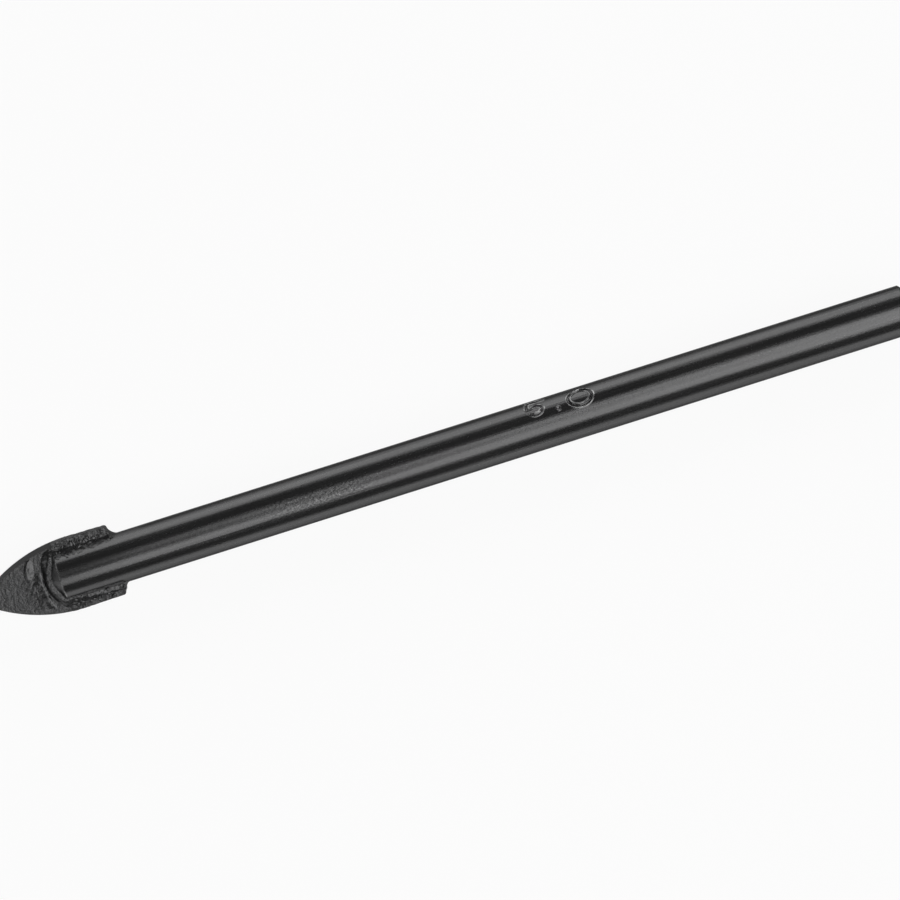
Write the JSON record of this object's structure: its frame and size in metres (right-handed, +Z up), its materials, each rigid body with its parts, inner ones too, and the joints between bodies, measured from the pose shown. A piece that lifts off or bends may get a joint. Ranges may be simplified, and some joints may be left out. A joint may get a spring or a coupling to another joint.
{
  "type": "glass and tile drill bit",
  "caption": "Straight round-shank drill bit with a spear-point carbide tip brazed into a slot in its head, for drilling glass and ceramic tile; satin black finish.",
  "frame": {"origin": "on the bit's axis, at the rear end of the shank", "axes": "+X along the axis from the shank's rear end to the point, +Z up, with the bit lying on its shank and one shoulder of its carbide tip"},
  "size_m": [0.07, 0.0052, 0.0036],
  "materials": {
    "shank_finish": "thin satin black coat over drawn steel bar",
    "tip_finish": "rough sintered carbide under a thin satin black coat, smooth where it is ground",
    "braze_finish": "lumpy brass-alloy braze filler under a thin satin black coat"
  },
  "bodies": {
    "root": {"shank": "shank_finish", "carbide_tip": "tip_finish", "braze": "braze_finish"}
  },
  "joints": []
}
